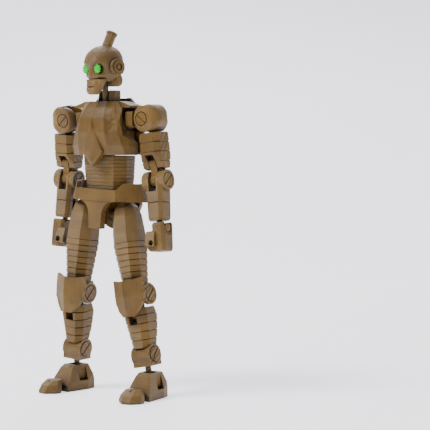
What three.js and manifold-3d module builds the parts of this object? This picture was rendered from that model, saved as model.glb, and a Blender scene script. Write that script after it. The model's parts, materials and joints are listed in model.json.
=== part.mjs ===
// A jointed, printed action figure of a humanoid robot. Millimetres, +Z up, facing -Y.
// +X is the figure's own left. Limbs are modelled for the left side, in the straight pose,
// each piece about its own joint, and mirrored for the right side.
import * as THREE from 'three';
import { mergeVertices } from 'three/addons/utils/BufferGeometryUtils.js';
import Module from 'manifold-3d';

const wasm = await Module();
wasm.setup();

// ---------------------------------------------------------------- driving dimensions
const GAP = 0.3; // running clearance between pieces
const ROUND = 10; // sides of a small round

const HIP = { x: 9.6, y: -1.3, z: 66 }; // hip joint, from the pelvis's mid plane
const WAIST_Z = 77.5; // lower waist hinge
const WAIST_LINK = 4.6; // between the two waist hinges
const CHEST_Z = 87.6; // chest turntable, at the top of the waist
const SHOULDER = { x: 18.15, z: 100.6 }; // shoulder pin; the block swings at BLOCK_X
const BLOCK_X = 9.6;
const NECK = { x: 0.3, y: -2.2, z: 105.6 }; // foot of the neck post
const HEAD_Z = 113.3; // neck post's top, where the head turns
const HEAD_BACK = -1.2; // middle of the head from the neck post, front to back
const HEAD_SIDE = 1.3; // and sideways

const ARM_OFFSET = 1.35; // arm axis outboard of the shoulder pin
const ARM_TOP = 5; // shoulder pin to the top of the upper arm
const ELBOW_UPPER = 11.1; // top of the upper arm to the upper elbow hinge
const ELBOW_SPAN = 6.4; // between the two elbow hinges
const FOREARM = 14.4; // lower elbow hinge to the wrist
const WRIST = 2.6; // wrist socket to the hand's hinge

const THIGH = 29.2; // hip to the upper knee hinge
const KNEE_SPAN = 6.6; // between the two knee hinges
const SHANK = 15; // lower knee hinge to the ankle pin
const ANKLE = 9.6; // ankle pin to the foot's roll hinge
const SOLE = 5.8; // foot's roll hinge above the sole

const PLASTIC = { color: 0x8d7350, roughness: 0.55, metalness: 0 };
const LENS = { color: 0x3cf028, roughness: 0.35, metalness: 0 };

// Rest pose, degrees. Positive swing is forward, spread and raise are outward.
const POSE = {
  head: { nod: 2, turn: -13 },
  left: {
    swing: 0, raise: 7.5, elbowUpper: 3, elbowLower: 3,
    hipSwing: 3.5, spread: 13.3, kneeUpper: 2, kneeLower: 3, splay: 5,
  },
  right: {
    swing: -7, raise: 3.5, elbowUpper: 5, elbowLower: 7,
    hipSwing: 5, spread: 2, kneeUpper: 6, kneeLower: 6, splay: 9,
  },
};

// ---------------------------------------------------------------- solids
function solidOf(geometry) {
  const bare = geometry.clone();
  bare.deleteAttribute('normal');
  bare.deleteAttribute('uv');
  const merged = mergeVertices(bare, 1e-4);
  const vertProperties = new Float32Array(merged.attributes.position.array);
  const triVerts = new Uint32Array(merged.index.array);
  return new wasm.Manifold(new wasm.Mesh({ numProp: 3, vertProperties, triVerts }));
}

function geometryOf(solid, side = 1) {
  const { vertProperties, triVerts } = solid.getMesh();
  const position = Float32Array.from(vertProperties);
  const index = Array.from(triVerts);
  if (side < 0) {
    for (let i = 0; i < position.length; i += 3) position[i] = -position[i];
    index.reverse();
  }
  const geometry = new THREE.BufferGeometry();
  geometry.setAttribute('position', new THREE.BufferAttribute(position, 3));
  geometry.setIndex(index);
  geometry.computeVertexNormals();
  return geometry;
}

const join = (first, ...rest) => rest.reduce((all, one) => all.add(one), first);
const cut = (first, ...rest) => rest.reduce((all, one) => all.subtract(one), first);
const both = (make) => join(make(1), make(-1));
const span = (s, near, far) => (s > 0 ? [near, far] : [-far, -near]); // near to far on side s

function box(x0, x1, y0, y1, z0, z1) {
  const geometry = new THREE.BoxGeometry(x1 - x0, y1 - y0, z1 - z0);
  return solidOf(geometry.translate((x0 + x1) / 2, (y0 + y1) / 2, (z0 + z1) / 2));
}

// A round bar along 'x', 'y' or 'z' from `from` to `to`, through the point `at`.
function bar(axis, radius, from, to, at = [0, 0, 0], sides = ROUND, endRadius = radius) {
  const geometry = new THREE.CylinderGeometry(endRadius, radius, to - from, sides);
  geometry.rotateY(Math.PI / sides);
  if (axis === 'x') geometry.rotateZ(-Math.PI / 2);
  if (axis === 'z') geometry.rotateX(Math.PI / 2);
  const centre = { x: 'xyz'.indexOf(axis), mid: (from + to) / 2 };
  const place = [...at];
  place[centre.x] += centre.mid;
  return solidOf(geometry.translate(...place));
}

// A profile pushed along an axis: (y, z) along x, (x, z) along y, or (x, y) along z.
function slab(axis, outline, from, to) {
  const isShape = outline instanceof THREE.Shape;
  const shape = isShape ? outline : new THREE.Shape(outline.map((p) => new THREE.Vector2(...p)));
  const settings = { depth: to - from, bevelEnabled: false, curveSegments: 5 };
  const geometry = new THREE.ExtrudeGeometry(shape, settings);
  if (axis === 'y') return solidOf(geometry.translate(0, 0, -to).rotateX(Math.PI / 2));
  geometry.translate(0, 0, from);
  const toX = new THREE.Matrix4().set(0, 0, 1, 0, 1, 0, 0, 0, 0, 1, 0, 0, 0, 0, 0, 1);
  if (axis === 'x') geometry.applyMatrix4(toX);
  return solidOf(geometry);
}

// A skin over rings of equal point count, closed by a flat face at each end.
function loft(rings) {
  const count = rings[0].length;
  const position = rings.flat(2);
  const index = [];
  for (let r = 0; r + 1 < rings.length; r += 1) {
    for (let j = 0; j < count; j += 1) {
      const [a, b] = [r * count + j, r * count + ((j + 1) % count)];
      index.push(a, b, b + count, a, b + count, a + count);
    }
  }
  const last = (rings.length - 1) * count;
  for (let j = 1; j + 1 < count; j += 1) {
    index.push(0, j + 1, j);
    index.push(last, last + j, last + j + 1);
  }
  const geometry = new THREE.BufferGeometry();
  geometry.setAttribute('position', new THREE.Float32BufferAttribute(position, 3));
  geometry.setIndex(index);
  return solidOf(geometry);
}

// A rectangle of width w and depth d with cut corners, at height z.
function octagon(w, d, corner, z, x = 0, y = 0) {
  const [a, b] = [w / 2, d / 2];
  const half = [[a, corner - b], [a, b - corner], [a - corner, b], [corner - a, b]];
  return [...half, ...half.map(([u, v]) => [-u, -v])].map(([u, v]) => [x + u, y + v, z]);
}

// Stacked bands with a groove between them. Keys are [z, width, depth, y], from low to high.
function ribbed(keys, pitch, corner, groove = 0.4, bulge = 0.1) {
  const sizeAt = (z) => {
    let k = 0;
    while (k < keys.length - 2 && z > keys[k + 1][0]) k += 1;
    const t = (z - keys[k][0]) / (keys[k + 1][0] - keys[k][0]);
    return keys[k].map((value, i) => THREE.MathUtils.lerp(value, keys[k + 1][i], t));
  };
  const ring = (z, grow) => {
    const [, w, d, y] = sizeAt(z);
    return octagon(w + grow, d + grow, corner, z, 0, y);
  };
  const [low, high] = [keys[0][0], keys.at(-1)[0]];
  const count = Math.max(1, Math.round((high - low) / pitch));
  const step = (high - low) / count;
  const rings = [];
  for (let i = 0; i < count; i += 1) {
    const base = low + i * step;
    rings.push(ring(base, -groove), ring(base + 0.3, bulge), ring(base + step - 0.3, bulge));
  }
  rings.push(ring(high, -groove));
  return loft(rings);
}

// A pin with a flat slotted head on each end, along 'x' or 'y'.
function slottedPin(axis, shaft, head, half, thick) {
  const ends = both((s) => bar(axis, head, ...span(s, half - thick, half), [0, 0, 0], 12));
  const pin = join(bar(axis, shaft, -half, half), ends);
  const slot = (s) => {
    const geometry = new THREE.BoxGeometry(0.55, 2 * head, 0.5).rotateZ(Math.PI / 4);
    if (axis === 'x') geometry.rotateY(Math.PI / 2);
    else geometry.rotateX(Math.PI / 2);
    const shift = s * half;
    return solidOf(axis === 'x' ? geometry.translate(shift, 0, 0) : geometry.translate(0, shift, 0));
  };
  return cut(pin, both(slot));
}

const pinHole = (axis, shaft, head, half, thick) => join(
  bar(axis, shaft + GAP, -half - 1, half + 1),
  both((s) => bar(axis, head + GAP, ...span(s, half - thick - GAP, half + 1), [0, 0, 0], 12)),
);

// ---------------------------------------------------------------- scene graph
function material({ color, roughness, metalness }) {
  return new THREE.MeshStandardMaterial({ color, roughness, metalness });
}

function place(group, name, solid, side = 1, look = PLASTIC) {
  const mesh = new THREE.Mesh(geometryOf(solid, side), material(look));
  mesh.name = name;
  group.add(mesh);
}

// A pivot at `at` in its parent, turned to its rest angle about one axis.
function pivot(parent, name, at, axis, degrees) {
  const group = new THREE.Group();
  group.name = name;
  group.position.set(...at);
  group.rotation[axis] = THREE.MathUtils.degToRad(degrees);
  group.userData.axis = axis;
  parent.add(group);
  return group;
}

// ---------------------------------------------------------------- pelvis and waist
const BELT = { top: 77.7, notch: 75.3, bottom: 71.2, wall: 1.6 };

function hipBlock() {
  const core = join(box(-2.7, 2.7, -4.2, 2.8, 62.6, 74), box(-2.7, 2.7, -3.2, 2.8, 70, WAIST_Z + 2));
  const sockets = both((s) => bar('x', 1.9, ...span(s, 0.6, 6), [0, HIP.y, HIP.z]));
  const clevis = box(-4, 4, -1.7 - GAP, 1.7 + GAP, WAIST_Z - 3, WAIST_Z + 3);
  const bore = bar('y', 1.2 + GAP, -5, 5, [0, 0, WAIST_Z]);
  const studs = bar('y', 1.2, 2.6, 5.4, [0, 0, 65.4]);
  return cut(join(core, studs), sockets, clevis, bore);
}

function belt() {
  const ring = (z, wide, sideY, corner, frontY) => {
    const rear = [[wide, sideY], [wide, 1.8], [corner + 2.6, 6.4], [-corner - 2.6, 6.4]];
    const front = [[-wide, 1.8], [-wide, sideY], [-corner, frontY], [corner, frontY]];
    return [...rear, ...front].map(([x, y]) => [x, y, z]);
  };
  const outer = loft([ring(BELT.bottom, 17, -0.2, 9.6, -8.4), ring(BELT.top, 14.4, -1, 8.6, -7.6)]);
  const inner = loft([ring(BELT.bottom - 1, 15.7, 0.1, 8.7, -6.8), ring(BELT.top + 1, 12.6, -0.7, 7.6, -6)]);
  const dip = [[-9, BELT.notch], [9, BELT.notch], [11.2, BELT.top + 1], [-11.2, BELT.top + 1]];
  const notch = slab('y', dip, -12, -4);
  const crotch = new THREE.Shape();
  crotch.moveTo(-8, BELT.bottom + 1);
  crotch.lineTo(-8, BELT.bottom);
  crotch.absarc(-8, BELT.bottom - 5, 5, Math.PI / 2, 0, true);
  crotch.lineTo(-2.6, 61);
  crotch.lineTo(2.6, 61);
  crotch.lineTo(3, BELT.bottom - 5);
  crotch.absarc(8, BELT.bottom - 5, 5, Math.PI, Math.PI / 2, true);
  crotch.lineTo(8, BELT.bottom + 1);
  const front = slab('y', crotch, -8, -4.9);
  const rearGap = box(-12.4, 12.4, 2.4, 12, BELT.bottom - 1, BELT.top + 1);
  return join(cut(outer, inner, notch, rearGap), cut(front, box(-6, 6, -5.2, -4, 60, 76)));
}

function seatPlate() {
  const outline = (grow) => {
    const shape = new THREE.Shape();
    shape.moveTo(-8.1 - grow, 76.7 + grow);
    shape.lineTo(-11.4 - grow, 70);
    shape.lineTo(-8.6 - grow, 63.4 - grow);
    shape.absarc(0, 68.6, 8.4 + grow, Math.PI * 1.17, Math.PI * 1.83, false);
    shape.lineTo(8.6 + grow, 63.4 - grow);
    shape.lineTo(11.4 + grow, 70);
    shape.lineTo(8.1 + grow, 76.7 + grow);
    return shape;
  };
  const plate = join(slab('y', outline(0), 4.1, 5.7), slab('y', outline(-0.7), 4.1, 6.4));
  const arch = join(box(-1.5, 1.5, 2, 7, 67.6, 69), bar('y', 1.5, 2, 7, [0, 0, 69]));
  const stud = bar('y', 1.2 + GAP, 2, 5.7, [0, 0, 65.4]);
  return cut(plate, arch, stud);
}

function waistPost() {
  const lower = bar('y', 2.4, -1.7, 1.7, [0, 0, 0], 12);
  const trunnion = bar('y', 1.2, -3, 3);
  const neck = box(-1.4, 1.4, -1.4, 1.4, 0, 4.6);
  const upper = bar('x', 1.9, -2.2, 2.2, [0, 0, 4.6], 12);
  return join(lower, trunnion, neck, upper);
}

function waistShell() {
  const skin = ribbed([[-7.2, 18.2, 10.8, 0.3], [-3, 19, 11.4, 0.3], [5.2, 19.8, 12, 0.2]], 1.55, 3.4);
  const hollow = join(box(-4.6, 4.6, -4.2, 4.2, -8, -2.2), box(-2.6, 2.6, -2.4, 2.4, -3, 2.5));
  const spigot = bar('z', 2.2, 5, 7.4);
  const seatRoom = box(-20, 20, 3.2, 10, -8, -4.2);
  return join(cut(skin, hollow, seatRoom), spigot);
}

// ---------------------------------------------------------------- chest
// Half a breastplate outline at height z: side edge, outer facet, breast ridge, middle seam.
function chestRing(z, [side, sideY], [outer, outerY], [ridge, ridgeY], seamY) {
  const half = [[side, 0], [side, sideY], [outer, outerY], [ridge, ridgeY]];
  const other = half.map(([x, y]) => [-x, y]);
  return [[0, seamY], ...half.reverse(), [0, 0.01], ...other].map(([x, y]) => [x, y, z]);
}

function chestFrame() {
  const core = loft([
    octagon(23.4, 9.2, 2.2, 88, 0, -0.4),
    octagon(20, 8.4, 2, 97, 0, -0.4),
    octagon(14, 7.4, 1.6, 103.6, 0, -0.2),
  ]);
  const yoke = [[9, 104.6], [6, 102.4], [-6, 102.4], [-9, 104.6], [-12.6, 104.6], [-12.8, 105.4], [-8, 107],
    [8, 107], [12.8, 105.4], [12.6, 104.6]];
  const shoulders = slab('y', yoke, -3.9, 3.2);
  const sockets = both((s) => bar('x', 1.8 + GAP, ...span(s, 5.6, 12), [0, 0, SHOULDER.z]));
  const turntable = bar('z', 2.2 + GAP, 86, 90.6);
  const neckHole = bar('z', 2.2, 103, 108, [NECK.x, NECK.y, 0]);
  const nodSocket = bar('x', 1.9, -2.3, 2.3, [NECK.x, NECK.y, NECK.z - 0.4], 12);
  const armHollow = both((s) => box(...span(s, 9.3, 14), -5, 5, 96.3, 104.7));
  return cut(join(core, shoulders), sockets, turntable, neckHole, nodSocket, armHollow);
}

// The room that the two plates leave round the chest frame.
const chestRoom = () => loft([
  octagon(24.8, 10.1, 2.3, 86, 0, -0.4),
  octagon(20.6, 9.1, 2, 97, 0, -0.4),
  octagon(15.2, 8.4, 1.6, 108, 0, -0.2),
]);

function breastplate() {
  const outer = loft([
    chestRing(87.6, [14, -1.2], [11.8, -5.5], [7, -8.2], -8.5),
    chestRing(91, [14, -1.8], [11.4, -6.9], [6.6, -9.6], -9.6),
    chestRing(96, [12.8, -2.9], [9.8, -7.4], [6.1, -10.5], -10.2),
    chestRing(101, [10.8, -3.8], [8.2, -6.7], [5.3, -9.9], -9.5),
    chestRing(104.5, [9.2, -3.9], [7.2, -6.1], [4.5, -8.1], -7.6),
    chestRing(107, [8, -3.7], [6.4, -4.8], [3.9, -5.7], -5.2),
  ]);
  const backHalf = box(-20, 20, -1, 8, 80, 110);
  const leaf = (inset, y, middle) => {
    const right = [[1.3, 96.6], [3.2, 92.4], [4.7, 88.8], [3, 86.6], [1.3, 84.9]];
    const left = right.map(([x, z]) => [-x, z]).reverse();
    const points = [[0, 100.2], ...left.reverse(), [0, 83.9], ...right.reverse()];
    return points.map(([x, z]) => [x * (1 - inset), x === 0 ? middle : y, (z - 91) * (1 - inset) + 91]);
  };
  const keel = loft([leaf(0, -5.8, -5.8), leaf(0, -10, -10), leaf(0.2, -10.5, -11)]);
  const armpit = [[9.3, 112], [9.3, 96.3], [15, 90.6], [20, 90.6], [20, 112]];
  const armCut = both((s) => join(
    slab('y', armpit.map(([x, z]) => [s * x, z]), -6, 5),
    box(...span(s, 8.2, 20), -4.2, 5, 96.3, 112),
  ));
  const shoulderTop = box(-20, 20, -3.9 - GAP, 8, 102, 112);
  const plate = cut(outer, chestRoom(), backHalf, armCut, shoulderTop);
  const throat = bar('z', 3, 104, 109, [NECK.x, NECK.y, 0]);
  return cut(join(plate, cut(keel, box(-6, 6, -7.3, 0, 80, 88), chestRoom())), throat);
}

function backPlate() {
  const wholeOf = (half) => [...half, ...half.map(([x, z]) => [-x, z]).reverse()];
  const outline = wholeOf([[7.4, 108.3], [9.8, 105.8], [13.8, 98.6], [12, 87.6]]);
  const raised = wholeOf([[6.5, 107.4], [8.4, 105.2], [11.6, 98.6], [10.4, 88.2]]);
  const ring = (points, y, lean) => points.map(([x, z]) => [x, y + lean * Math.abs(z - 98) / 10, z]);
  const skin = loft([ring(outline, 3, -0.2), ring(outline, 4.2, -0.3), ring(raised, 6.2, -1.2)]);
  const shoulders = box(-14, 14, -5, 3.2 + GAP, 101.8, 107);
  const armCut = both((s) => box(...span(s, 9.3, 20), -6, 4.4, 96, 112));
  const collarRoom = box(-6, 6, 0, 4.1, 100, 112);
  return cut(skin, chestRoom(), shoulders, armCut, collarRoom);
}

function collar() {
  const ring = loft([octagon(8.2, 7, 2, 107.3, 0, 0.2), octagon(7.5, 6.8, 1.9, 111, 0, 0.5)]);
  const inner = loft([octagon(5.6, 5.2, 1.4, 106, 0, 0.2), octagon(5.6, 5.2, 1.4, 112, 0, 0.2)]);
  return cut(ring, inner, box(-2.3, 2.3, -6, 0, 106, 112));
}

// ---------------------------------------------------------------- neck and head
function neckPost() {
  const post = bar('z', 1.1, 0, HEAD_Z - NECK.z + 1.6, [0, 0, 0], 12);
  return join(post, bar('x', 1.5, -2, 2, [0, 0, -0.4], 12), bar('z', 1.5, 7.4, 8.4, [0, 0, 0], 12));
}

const CROWN = 13.9; // head joint to the top of the dome
const EYE = { x: 3.35, z: 5.5 };
const dome = (z, w, d, y) => {
  const sides = 14;
  return Array.from({ length: sides }, (_, i) => {
    const turn = (2 * Math.PI * (i + 0.5)) / sides;
    return [(w / 2) * Math.cos(turn), y + (d / 2) * Math.sin(turn), z];
  });
};

function skull() {
  const shell = loft([
    dome(1.5, 9.6, 11.4, -0.7), dome(3, 12.2, 12.4, -0.4), dome(5, 13.4, 13.3, -0.45),
    dome(7.4, 13.8, 13.5, -0.35), dome(9.7, 13.1, 12.8, -0.2), dome(11.8, 10.8, 10.8, 0),
    dome(13.2, 7.4, 7.6, 0.2), dome(CROWN, 3, 3.4, 0.3),
  ]);
  const cheeks = both((s) => bar('y', 1.9, -9, -3.4, [s * 6.2, 0, 2.2], 12));
  const sockets = both((s) => bar('y', 2, -9, -5.2, [s * EYE.x, 0, EYE.z], 12));
  const ears = both((s) => bar('x', 3.1 + GAP, ...span(s, 6.4, 9), [0, 0.2, 6], 12));
  const neckSocket = bar('z', 1.9, -1, 3.6, [-HEAD_SIDE, -HEAD_BACK, 0], 12);
  const nose = slab('x', [[-7.4, 4.6], [-6.2, 4.6], [-6, 1.8], [-6.8, 1.8]], -0.9, 0.9);
  const pipeSeat = pipe(GAP, 0);
  const nape = box(-8, 8, 0.8, 9, 0, 3);
  return cut(join(shell, nose), cheeks, sockets, ears, neckSocket, pipeSeat, nape);
}

function jaw() {
  const bone = loft([
    octagon(4.2, 2.2, 0.7, -3.6, 0, -5.9), octagon(5.6, 2.8, 0.9, -1.9, 0, -5.6),
    octagon(7.6, 4.8, 1.4, 0, 0, -4.7), octagon(8.2, 5.2, 1.6, 1.3, 0, -4.4),
  ]);
  const mouth = box(-3, 3, -8, -6.2, -1.1, -0.7);
  const throat = bar('z', 1.9, -6, 3, [-HEAD_SIDE, -HEAD_BACK, 0], 12);
  return cut(bone, mouth, throat);
}

function occiput() {
  const block = loft([
    octagon(6.6, 3.6, 0.9, -1, 0, 3.2), octagon(8.6, 4.6, 1.1, -0.2, 0, 3.4),
    octagon(9.2, 4.8, 1.2, 2.7, 0, 3.4),
  ]);
  const grooves = both((s) => box(s * 2 - 0.2, s * 2 + 0.2, 5.3, 7, -3, 1));
  return cut(block, grooves, bar('z', 1.9, -3, 4, [-HEAD_SIDE, -HEAD_BACK, 0]));
}

const LEAN = -28; // the pipe leans back out of the crown
function pipe(grow = 0, rim = 0.25) {
  const lip = bar('z', 1.85 + rim + grow, 5.5, 6.2, [0, 0, 0], 14);
  const tube = join(bar('z', 1.85 + grow, 0, 6.2, [0, 0, 0], 14), lip);
  return tube.rotate([LEAN, 0, 0]).translate([0, 1, CROWN - 1]);
}

function earDisc() {
  const disc = bar('x', 3.1, 0, 1, [0, 0, 0], 12);
  const ring = cut(bar('x', 2.1, 0, 1.5, [0, 0, 0], 12), bar('x', 1.5, 0.8, 2, [0, 0, 0], 12));
  return join(disc, ring, bar('x', 0.7, 0, 1.4, [0, 0, 0], 12));
}

const eyeLens = () => bar('y', 1.7, -1, 0.6, [0, 0, 0], 12, 1.7);

// ---------------------------------------------------------------- arm
const TONGUE = 1.9; // half thickness of the shoulder tongue
const FORK = 1.4; // half thickness of an elbow or knee lug
const DRUM = { half: 4.5, head: 2.3, shaft: 1.1, thick: 0.7 };

function shoulderBlock() {
  const reach = SHOULDER.x - BLOCK_X;
  const block = slab('y', [[0.3, -3.5], [3.4, -2.7], [3.4, 2.7], [0.3, 3.2]], -3, 3)
    .intersect(bar('x', 3.8, 0, 4, [0, 0, 0], 12));
  const tongue = join(
    box(3.2, reach, -TONGUE, TONGUE, -2, 2),
    bar('y', 2.8, -TONGUE, TONGUE, [reach, 0, 0], 12),
  );
  const bore = bar('y', DRUM.shaft + GAP, -5, 5, [reach, 0, 0]);
  return cut(join(block, tongue, bar('x', 1.8, -3.2, 0.5)), bore);
}

function shoulderDrum() {
  const side = new THREE.Shape();
  side.moveTo(0, 4.7);
  side.absarc(0, 0, 4.7, Math.PI / 2, Math.PI * 1.5, false);
  side.lineTo(4.2, -4.8);
  side.quadraticCurveTo(6.6, -3.4, 6.8, 0);
  side.quadraticCurveTo(6.4, 4.2, 2.6, 5);
  const plan = new THREE.Shape();
  plan.moveTo(-6, -4.5);
  plan.lineTo(3.2, -4.5);
  plan.absarc(3.2, -0.9, 3.6, -Math.PI / 2, 0, false);
  plan.absarc(3.2, 0.9, 3.6, 0, Math.PI / 2, false);
  plan.lineTo(-6, 4.5);
  const body = slab('y', side, -4.5, 4.5).intersect(slab('z', plan, -6, 6));
  const slot = TONGUE + GAP;
  const mouth = join(
    bar('y', 3.2, -slot, slot, [0, 0, 0], 12),
    box(-6, 2.4, -slot, slot, -2.4, 6),
  );
  const armSocket = bar('z', 1.5 + GAP, -6, -2.6, [ARM_OFFSET, 0, 0]);
  const notches = both((s) => box(s * 2.9 - 0.35, s * 2.9 + 0.35, -5, 5, 4.5, 6));
  const hole = pinHole('y', DRUM.shaft, DRUM.head, DRUM.half + 0.2, DRUM.thick);
  return cut(body, mouth, armSocket, notches, hole);
}

const shoulderPin = () => slottedPin('y', DRUM.shaft, DRUM.head, DRUM.half + 0.2, DRUM.thick);

function upperArm() {
  const shell = ribbed([[-14, 8, 8, 0], [-9, 9.3, 9.3, 0], [-GAP, 9.1, 9.1, 0]], 3.2, 2);
  const ends = slab('x', [[-5, 0], [-5, -7.6], [-2.7, -10.6], [-2.2, -12.8], [0, -13.5], [2.2, -13.2],
    [5, -10.2], [5, 0]], -5, 5);
  const slot = box(-FORK - GAP, FORK + GAP, -6, 6, -16, -8.2);
  const pegs = bar('x', 1 + GAP, -3.1, 3.1, [0, 0, -ELBOW_UPPER]);
  return cut(join(shell.intersect(ends), bar('z', 1.5, -0.6, 1.1)), slot, pegs);
}

const ELBOW_HEAD = 2.5;
const FORE_DISC = 4.7; // half the width across the two elbow discs

function elbowLink() {
  const upper = join(bar('x', 2.7, -FORK, FORK, [0, 0, 0], 12), bar('x', 1, -2.9, 2.9));
  const lower = bar('x', 2.7, -FORK, FORK, [0, 0, -ELBOW_SPAN], 12);
  const web = box(-FORK, FORK, -1.9, 3.3, -ELBOW_SPAN, -0.6);
  const boss = cut(bar('y', 1, 3, 3.6, [0, 0, -3.2]), bar('y', 0.55, 3.3, 4, [0, 0, -3.2], 12));
  return cut(join(upper, lower, web, boss), bar('x', 1 + GAP, -3, 3, [0, 0, -ELBOW_SPAN]));
}

const elbowPin = () => slottedPin('x', 1, ELBOW_HEAD, FORE_DISC, 0.5);

function forearm() {
  const shell = loft([
    octagon(6, 6, 1.1, -FOREARM), octagon(6.7, 6.7, 1.2, -FOREARM + 1), octagon(7.2, 7.2, 1.3, -3),
    octagon(8, 7.4, 1.4, 2),
  ]);
  const ears = slab('x', [[-4, -16], [4, -16], [4, 0.4], [2.6, 2.9], [1, 3.65], [-1, 3.65], [-2.6, 2.9],
    [-4, 0.4]], -5, 5);
  const discs = both((s) => bar('x', 3.7, ...span(s, 2, FORE_DISC), [0, 0, 0], 14));
  const slot = box(-FORK - GAP, FORK + GAP, -6, 6, -4, 6);
  const groove = cut(box(-5, 5, -5, 5, -8.2, -7.8), box(-3.2, 3.2, -3.2, 3.2, -9, -7));
  const window = box(-5, -2.5, -0.8, 0.8, -11.6, -6);
  const socket = bar('z', 1 + GAP, -16, -11.4);
  return cut(join(shell.intersect(ears), discs), slot, groove, window, socket,
    pinHole('x', 1, ELBOW_HEAD, FORE_DISC, 0.5));
}

function wristPeg() {
  const stem = bar('z', 1, -WRIST, 2.4);
  return join(stem, bar('x', 1.5, -1.4, 3.6, [0, 0, -WRIST], 16));
}

function hand() {
  const palm = loft([octagon(5.4, 6.2, 0.7, -8.4, 1), octagon(5.8, 6.6, 0.8, -7.6, 1),
    octagon(5.8, 6.8, 0.8, 1.4, 1), octagon(5.4, 6.2, 0.7, 1.9, 1)]);
  const curl = [[0.4, -8.2], [0.4, -2], [-2.6, -2.4], [-4, -3.8], [-4, -7.2], [-3, -8.2]];
  const fingers = slab('y', curl, -3.3, 3.3);
  const knuckles = [-1.65, 0, 1.65].map((y) => box(-5, -3.7, y - 0.12, y + 0.12, -9, -2));
  const bent = [[-3.9, -4.6], [-4.9, -6.3], [-4.2, -7.4], [-2.6, -6.6], [-2, -1.2], [-3, -1]];
  const thumb = slab('x', bent, -3.4, 0.8);
  const grip = bar('y', 0.85, -6, 6, [-0.8, 0, -5.4], 12);
  const lobe = join(bar('x', 1.5 + GAP, -1.8, 5, [0, 0, 0], 16), box(-1.8, 5, -1.8, 1.8, 0, 4));
  return cut(join(palm, fingers, thumb), grip, lobe, ...knuckles);
}

// ---------------------------------------------------------------- leg
const KNEE = { pinHead: 2.7, disc: 3.85, inner: 4.7, outer: 6.3 };

function hipKnuckle() {
  const eye = bar('y', 2.6, -2, 2, [0, 0, 0], 12);
  const arm = box(-4, 0, -1.7, 1.7, -1.7, 1.7);
  return join(eye, arm, bar('x', 1.6, -8.8, -3), bar('y', 1.1, -3.4, 3.4));
}

function thigh() {
  const tube = ribbed([[-25.2, 8.8, 8.8, 0.2], [-12, 10.8, 10.8, 0], [-9.8, 11, 10.8, 0]], 2.2, 2.7);
  const cap = loft([octagon(11, 10.8, 2.8, -9.8), octagon(11.2, 10.6, 3, -6.4), octagon(11, 9.8, 2.9, -3.4),
    octagon(10.6, 9.3, 2.8, -0.4), octagon(8.8, 7.6, 2.4, 2.7), octagon(5.4, 4.8, 1.2, 4.5)]);
  const fork = slab('x', [[-3.6, -25], [3.6, -25], [3.4, -THIGH], [2, -THIGH - 2.9], [-1.4, -THIGH - 3.1],
    [-3.2, -THIGH - 1]], -4.3, 4.3);
  const slot = box(-FORK - GAP, FORK + GAP, -6, 6, -THIGH - 5, -THIGH + 3.8);
  const knuckle = join(
    box(-8, 2.9, -2.3, 2.3, -2.4, 6), bar('y', 2.9, -2.3, 2.3, [0, 0, 0], 12), bar('y', 1.1 + GAP, -3.7, 3.7),
    box(-8, -1, -2.3, 2.3, -5.4, 0),
  );
  const bore = bar('x', 1.1 + GAP, -6, 6, [0, 0, -THIGH]);
  return cut(join(tube, cap, fork), slot, knuckle, bore);
}

function kneeLink() {
  const upper = bar('x', 3.3, -FORK, FORK, [0, 0, 0], 14);
  const eye = bar('x', 2.7, -FORK, FORK, [0, 0, -KNEE_SPAN], 14);
  const lower = join(eye, bar('x', 1, -3, 3, [0, 0, -KNEE_SPAN]));
  const web = slab('x', [[-3.1, 0], [-2.7, -KNEE_SPAN], [2.2, -KNEE_SPAN], [2.4, 0]], -FORK, FORK);
  return cut(join(upper, lower, web), bar('x', 1.1 + GAP, -3, 3));
}

const kneePin = () => slottedPin('x', 1.1, KNEE.pinHead, KNEE.outer + 0.15, 0.6);

function kneePad() {
  const half = [[2.4, -7.2], [4.4, -5], [5.9, -2.2], [6.5, 0.4], [6.3, 6.3], [3, 5.7]];
  const outline = [...half, ...half.map(([x, z]) => [-x, z]).reverse()];
  const fold = loft([
    [[-6.6, -3.2, -8], [-6.6, -4.6, -8], [0, -7, -8], [6.6, -4.6, -8], [6.6, -3.2, -8], [0, -5.4, -8]],
    [[-6.6, -2.4, 0], [-6.6, -4.2, 0], [0, -8, 0], [6.6, -4.2, 0], [6.6, -2.4, 0], [0, -6.3, 0]],
    [[-6.6, -2.6, 7], [-6.6, -4, 7], [0, -7.4, 7], [6.6, -4, 7], [6.6, -2.6, 7], [0, -5.9, 7]],
  ]);
  const shield = fold.intersect(slab('y', outline, -9, 0));
  const discs = both((s) => bar('x', KNEE.disc, ...span(s, KNEE.inner, KNEE.outer), [0, 0, 0], 14));
  const arms = both((s) => box(...span(s, KNEE.inner, KNEE.outer), -4.4, -1, -2.4, 3));
  return cut(join(shield, discs, arms), pinHole('x', 1.1, KNEE.pinHead, KNEE.outer + 0.15, 0.6));
}

const ANKLE_DRUM = { radius: 3.9, half: 3.9, head: 2.7 };
const SHANK_FOOT = -SHANK + ANKLE_DRUM.radius + GAP; // lowest face of the shank's shell

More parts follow.
